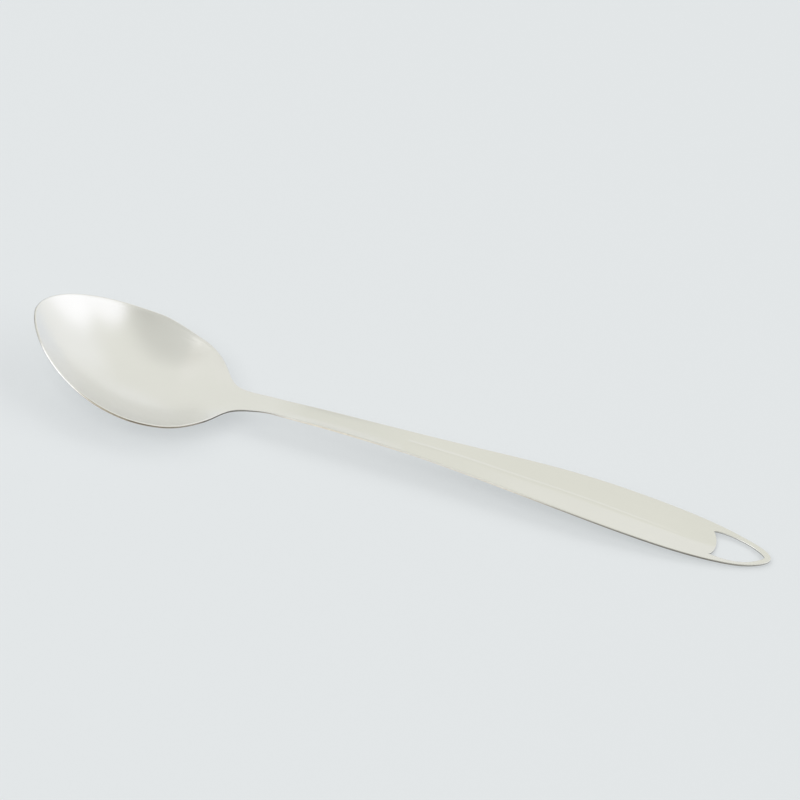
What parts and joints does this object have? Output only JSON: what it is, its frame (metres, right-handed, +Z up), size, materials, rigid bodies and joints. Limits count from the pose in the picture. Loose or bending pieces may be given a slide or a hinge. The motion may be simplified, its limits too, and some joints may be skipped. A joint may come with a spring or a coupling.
{
  "type": "serving spoon",
  "caption": "One-piece pressed steel serving spoon with a deep oval bowl, a narrow neck and a long flared handle folded to a valley, ending in a teardrop hanging hole.",
  "frame": {"origin": "middle of the spoon's length and width, on the table it lies on", "axes": "+X towards the end of the handle, the tip of the bowl at -X, +Y across the spoon, +Z up out of the open bowl"},
  "size_m": [0.3308, 0.063, 0.033],
  "materials": {
    "steel": "satin stainless steel, softly reflective"
  },
  "bodies": {
    "root": {"spoon": "steel"}
  },
  "joints": []
}
